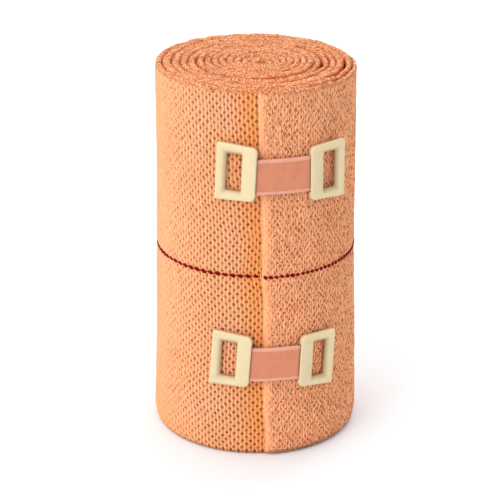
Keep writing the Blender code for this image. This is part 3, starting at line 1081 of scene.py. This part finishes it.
def cloth_material():
    n = Nodes(bpy.data.materials.new("crepe_knit"))
    place = n.stored_vector("cloth_place")
    column, row, openness = n.split(place)
    near_top, between, texture = n.split(n.stored_vector("cloth_edge"))
    slack = n.range(openness, 0.55, 0.85, 1.0, 0.0)

    wander = n.range(n.noise(place, 0.9, 2.0), 0.25, 0.75, -0.07, 0.07)
    elsewhere = n.add("ShaderNodeVectorMath", {0: place, 1: (17.0, 5.0, 3.0)}).outputs[0]
    loose = n.range(n.noise(place, 2.1, 1.0), 0.3, 0.7, -0.17, 0.17)
    loose_up = n.range(n.noise(elsewhere, 2.1, 1.0), 0.3, 0.7, -0.17, 0.17)
    column = n.sum(column, n.sum(wander, n.product(loose, slack)))
    row = n.sum(row, n.product(loose_up, slack))

    def hole_distance():
        """Distance from the middle of the nearest hole, which is 1 at the hole's edge."""
        distances = []
        for shift in (0.5, 0.0):
            parts = []
            for count, half_size in ((column, HOLE_WIDTH), (row, HOLE_HEIGHT)):
                beside = n.math("SUBTRACT", n.math("FRACT", n.sum(count, shift)), 0.5)
                parts.append(n.math("DIVIDE", n.math("ABSOLUTE", beside), half_size))
            distances.append(n.sum(*parts))
        return n.math("MINIMUM", *distances)

    uneven = n.range(n.noise(place, 2.4, 1.0), 0.3, 0.7, -0.45, 0.45)
    uneven = n.product(uneven, n.range(slack, 0.0, 1.0, 1.0, 1.7))
    distance = n.sum(hole_distance(), uneven)
    hole = n.range(distance, 0.30, 1.15, 1.0, 0.0)
    hole = n.product(hole, texture)
    hole = n.product(hole, n.range(openness, 0.1, 0.8, 0.10, 1.0))

    # Threads run up the cloth between the columns of holes and swing round them
    swing = n.product(n.math("SINE", n.product(column, math.tau)), 0.06)
    swing = n.product(swing, n.math("COSINE", n.product(row, math.tau)))
    threads = n.math("SUBTRACT", column, swing)
    threads = n.math("COSINE", n.product(threads, math.tau * 2.0))
    threads = n.range(threads, -1.0, 0.55, 1.0, 0.0)

    fibres = n.noise(place, 9.0, 3.0, 0.65)
    twisted = n.stretched(place, (9.0, 3.0, 1.0), 0.6)
    strands = n.range(n.noise(twisted, 1.6, 2.0, 0.6), 0.35, 0.65)
    threads = n.mix_numbers(texture, 0.75, threads)

    # Cords run along the top edge
    cord_wander = n.range(n.noise(place, 1.4, 2.0), 0.3, 0.7, -0.35, 0.35)
    cords = n.sum(n.product(row, CORDS_PER_REPEAT), cord_wander)
    cords = n.range(n.math("COSINE", n.product(cords, math.tau)), -0.9, 0.1, 0.0, 1.0)
    threads = n.mix_numbers(near_top, threads, cords)

    broad = n.noise(n.object_place(), 60.0, 2.0)
    edge_shade = n.stored_number("cloth_edge_shade")
    lift = n.stored_number("cloth_lift")
    colour = n.mix(n.range(broad, 0.3, 0.7), THREAD_COLOUR, THREAD_PINK)
    colour = n.mix(n.product(slack, 0.7), colour, THREAD_SLACK)
    # Painted shade: deeper orange on the turn beneath, next to the loose end's edge
    colour = n.mix(n.product(edge_shade, 0.85), colour, THREAD_SHADED_ORANGE)
    colour = n.mix(n.range(texture, 0.12, 0.5, 0.8, 0.0), colour, SMOOTH_COLOUR)
    # Painted light and shade: the threads are painted lighter than the grooves between them, the
    # fibres and strands add a random tone, and the cloth near the top edge is painted a little
    # darker as painted shade on the top of the roll
    shade = n.sum(n.product(threads, 0.54), n.product(fibres, 0.36))
    shade = n.sum(shade, n.product(strands, 0.16))
    shade = n.sum(shade, n.range(slack, 0.0, 1.0, 0.46, 0.52))
    shade = n.product(shade, n.range(near_top, 0.0, 1.0, 1.0, 0.88))
    shaded = n.scaled(colour, shade)
    # Painted shade: the low places of the crepe's relief are painted darker, towards the pit shade
    # colour
    shaded = n.mix(n.range(lift, -0.22, 0.05, 0.70, 0.0), shaded, PIT_SHADE_COLOUR)
    # Painted shade in the gaps between turns, on the sides of each turn below its top edge
    shaded = n.mix(n.product(between, 0.85), shaded, GAP_SHADE_COLOUR)
    # Painted shade in the grooves between the cords along the top edge
    cord_gap_shade = n.product(near_top, n.range(cords, 0.0, 1.0, 0.86, 0.22))
    shaded = n.mix(cord_gap_shade, shaded, CORD_GAP_SHADE_COLOUR)
    # Painted shade in the holes of the knit, deeper where the holes are open
    hole_shade_colour = n.mix(n.range(openness, 0.5, 0.95), CLOSED_HOLE_SHADE_COLOUR, HOLE_SHADE_COLOUR)
    final = n.mix(n.product(hole, 0.92), shaded, hole_shade_colour)

    height = n.sum(n.product(threads, 0.6), n.product(fibres, 0.5))
    height = n.sum(height, n.product(strands, 0.25))
    height = n.math("SUBTRACT", height, n.product(hole, 0.8))
    settings = {
        "Base Color": final,
        "Normal": n.bump(height, 0.9, 0.22 * MM),
        "Roughness": 0.92,
        "Sheen Weight": 0.06,
        "Sheen Roughness": 0.55,
        "Sheen Tint": SHEEN_COLOUR,
        "Specular IOR Level": 0.08,
    }
    return n.finish("Principled BSDF", settings)


def selvedge_material():
    n = Nodes(bpy.data.materials.new("selvedge_loops"))
    coordinates = n.object_place()
    fibres = n.noise(coordinates, 2600.0, 3.0, 0.6)
    broad = n.noise(coordinates, 420.0, 2.0)
    colour = n.mix(n.range(broad, 0.3, 0.7), SELVEDGE_DEEP, SELVEDGE_PALE)
    blotches = n.range(n.noise(coordinates, 1050.0, 2.0), 0.40, 0.58, 0.54, 1.10)
    shade = n.product(n.sum(n.product(fibres, 0.7), 0.58), blotches)
    shaded = n.scaled(colour, shade)
    settings = {
        "Base Color": shaded,
        "Normal": n.bump(fibres, 0.8, 0.10 * MM),
        "Roughness": 0.92,
        "Sheen Weight": 0.12,
        "Specular IOR Level": 0.15,
    }
    return n.finish("Principled BSDF", settings)


def strap_material():
    n = Nodes(bpy.data.materials.new("strap_satin"))
    place = n.stored_vector("strap_place")
    along, across, from_end = n.split(place)
    from_edge = n.math("SUBTRACT", STRAP_WIDTH / MM / 2.0, n.math("ABSOLUTE", across))
    selvedge = n.range(from_edge, 0.75, 1.1, 1.0, 0.0)
    ribs = n.math("SINE", n.product(along, math.tau / 0.42))
    ribs = n.range(ribs, -1.0, 1.0)
    rib_patches = n.noise(place, 0.32, 2.0)
    ribs = n.product(ribs, n.range(rib_patches, 0.42, 0.68))
    # Painted sheen: pale and deep streaks along the strap, also used in its fine relief
    sheen_streaks = n.noise(n.stretched(place, (0.25, 5.0, 1.0)), 1.2, 3.0, 0.6)
    colour = n.mix(n.range(sheen_streaks, 0.3, 0.7), STRAP_DEEP, STRAP_SHEEN_COLOUR)
    colour = n.mix(n.product(selvedge, 0.75), colour, STRAP_SIDE_COLOUR)
    shade = n.math("SUBTRACT", 1.0, n.product(ribs, 0.12))
    # Painted shade: the strap is painted darker within about a millimetre of its ends, where it
    # goes into the frames' slots
    shade = n.product(shade, n.range(from_end, 0.1, 1.1, 0.45, 1.0))
    shaded = n.scaled(colour, shade)
    lift = n.sum(n.product(ribs, 0.5), n.product(sheen_streaks, 0.5))
    settings = {
        "Base Color": shaded,
        "Normal": n.bump(lift, 0.5, 0.06 * MM),
        "Roughness": 0.42,
        "Sheen Weight": 0.15,
    }
    return n.finish("Principled BSDF", settings)


def frame_material():
    n = Nodes(bpy.data.materials.new("cream_enamel"))
    coordinates = n.object_place()
    broad = n.noise(coordinates, 260.0, 2.0)
    peel = n.noise(coordinates, 2400.0, 2.0)
    worn = n.add("ShaderNodeNewGeometry").outputs["Pointiness"]
    edge = n.range(worn, 0.52, 0.60)
    colour = n.mix(n.range(broad, 0.3, 0.7), ENAMEL_DEEP, ENAMEL_PALE)
    colour = n.mix(n.product(edge, 0.35), colour, ENAMEL_EDGE_COLOUR)
    # Painted shade: the enamel is darkened in the window and low on the outer sides
    painted_shade = n.stored_number("frame_painted_shade")
    colour = n.mix(n.product(painted_shade, 0.72), colour, ENAMEL_PAINTED_SHADE)
    settings = {
        "Base Color": colour,
        "Normal": n.bump(peel, 0.15, 0.03 * MM),
        "Roughness": n.range(broad, 0.3, 0.7, 0.29, 0.35),
    }
    return n.finish("Principled BSDF", settings)


def thread_material():
    n = Nodes(bpy.data.materials.new("marker_thread"))
    coordinates = n.object_place()
    fibres = n.noise(coordinates, 3000.0, 3.0, 0.6)
    colour = n.mix(n.range(fibres, 0.3, 0.7), STITCH_DARK, STITCH_RED)
    core = n.stored_number("thread_core")
    colour = n.mix(n.product(core, 0.85), colour, CORE_RED)
    settings = {
        "Base Color": colour,
        "Normal": n.bump(fibres, 0.6, 0.08 * MM),
        "Roughness": 0.9,
        "Specular IOR Level": 0.05,
    }
    return n.finish("Principled BSDF", settings)


def floor_material():
    n = Nodes(bpy.data.materials.new("pale_floor"))
    colour = n.mix(n.noise(n.object_place(), 30.0), FLOOR_DEEP, FLOOR_PALE)
    return n.finish("Principled BSDF", {"Base Color": colour, "Roughness": 0.9})


# The object

cloth_look = cloth_material()
outer_rows = np.linspace(0.0, 1.0, OUTER_ROWS)
last_turn = make_cloth("bandage_last_turn", 0.0, LAST_TURN_STOP, outer_rows, True, cloth_look)
inner_turns = make_cloth(
    "bandage_inner_turns", LAST_TURN_STOP, CLOTH_TURNS, BURIED_SIDE_ROWS, False, cloth_look
)
thread = make_thread("marker_thread", thread_material())
selvedge = make_selvedge("selvedge_loops", selvedge_material())

frame_look = frame_material()
strap_look = strap_material()
placed_frames = {}
for name, strap_side, middle, touch, height_mm, turn in FRAMES:
    placed = frame_matrix(middle, touch, height_mm * MM, turn)
    placed_frames[name] = (placed, strap_side)
    pressed = make_frame(name, strap_side, placed, frame_look)
    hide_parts(name)
    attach(pressed, "root")
for name, left, right, left_height, right_height in STRAPS:
    ends = (placed_frames[left], placed_frames[right])
    webbing = make_strap(name, *ends, left_height * MM, right_height * MM, strap_look)
    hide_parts(name)
    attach(webbing, "root")

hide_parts("bandage_roll")
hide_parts("bandage_roll")
for piece in (inner_turns, last_turn, thread, selvedge):
    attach(piece, "root")


# The stage

floor_corners = []
for x, y in ((-1.0, -1.0), (1.0, -1.0), (1.0, 1.0), (-1.0, 1.0)):
    floor_corners.append((x * FLOOR_HALF_WIDTH, y * FLOOR_HALF_WIDTH, 0.0))
floor = add_piece("floor", floor_corners, [(0, 1, 2, 3)], floor_material())

sky = Nodes(bpy.data.worlds.new("studio"))
sky_direction = sky.add("ShaderNodeTexCoord").outputs["Generated"]
strength = 1.0
for direction, amount in SKY_SHADE:
    inputs = {0: sky_direction, 1: Vector(direction).normalized()}
    facing = sky.add("ShaderNodeVectorMath", inputs, operation="DOT_PRODUCT").outputs["Value"]
    strength = sky.sum(strength, sky.range(facing, 0.0, 1.0, 0.0, amount))
bpy.context.scene.world = sky.finish("Background", {"Color": SKY_COLOUR, "Strength": strength})
bpy.context.scene.view_settings.view_transform = "Standard"


def add_light(name, azimuth, elevation, size, power):
    """A square soft light that looks at the middle of the roll."""
    light = bpy.data.lights.new(name, "AREA")
    light.size = size
    light.energy = power
    target = Vector((0.0, 0.0, CLOTH_WIDTH / 2.0))
    level = outward(math.radians(azimuth)) * math.cos(math.radians(elevation))
    direction = level + Vector((0.0, 0.0, math.sin(math.radians(elevation))))
    item = bpy.data.objects.new(name, light)
    item.location = target + direction * LIGHT_DISTANCE
    item.rotation_euler = direction.to_track_quat("Z", "Y").to_euler()
    bpy.context.scene.collection.objects.link(item)


for light_values in LIGHTS:
    add_light(*light_values)

camera_data = bpy.data.cameras.new("camera")
camera_data.lens = CAMERA_LENS
camera_data.sensor_width = CAMERA_SENSOR
camera_data.clip_start = CAMERA_CLIP_START
camera = bpy.data.objects.new("camera", camera_data)
camera.matrix_world = (
    Matrix.Translation(CAMERA_PLACE)
    @ Matrix.Rotation(math.radians(CAMERA_YAW), 4, "Z")
    @ Matrix.Rotation(math.radians(90.0 - CAMERA_PITCH), 4, "X")
    @ Matrix.Rotation(math.radians(CAMERA_ROLL), 4, "Z")
)
bpy.context.scene.collection.objects.link(camera)
bpy.context.scene.camera = camera
